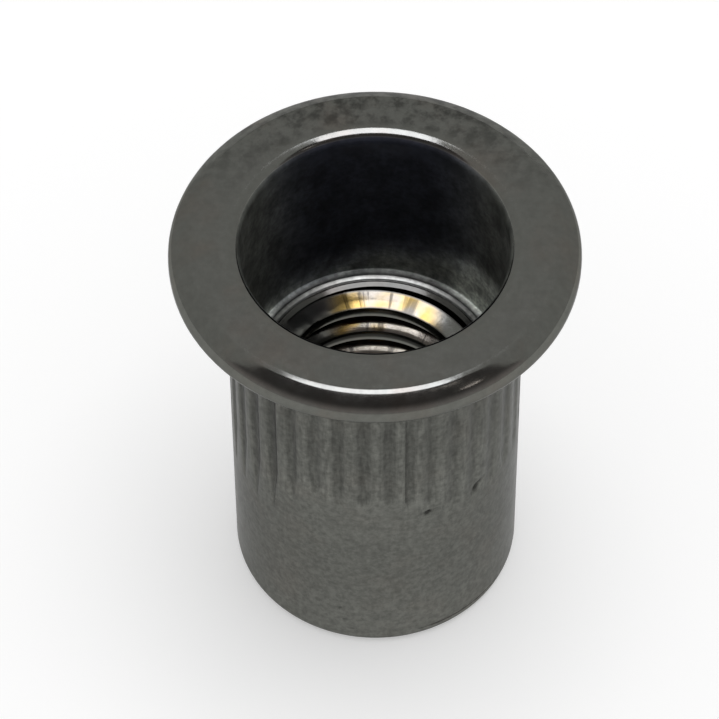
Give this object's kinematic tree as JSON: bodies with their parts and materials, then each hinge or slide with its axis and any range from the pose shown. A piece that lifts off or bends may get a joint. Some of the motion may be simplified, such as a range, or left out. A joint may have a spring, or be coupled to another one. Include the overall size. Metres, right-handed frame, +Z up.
{
  "type": "rivet nut",
  "caption": "Flanged rivet nut: a ribbed steel sleeve with a thin round flange, a smooth counterbore and a threaded hole through its lower end.",
  "frame": {"origin": "on the axis at the lower end, where the nut stands", "axes": "+Z up along the nut's axis, from the threaded lower end to the flange; X and Y are alike, apart from the ribs"},
  "size_m": [0.0144, 0.0144, 0.0174],
  "materials": {
    "plated_steel": "dark grey plating with a low gloss, worn brighter on edges"
  },
  "bodies": {
    "root": {"rivet_nut": "plated_steel"}
  },
  "joints": []
}
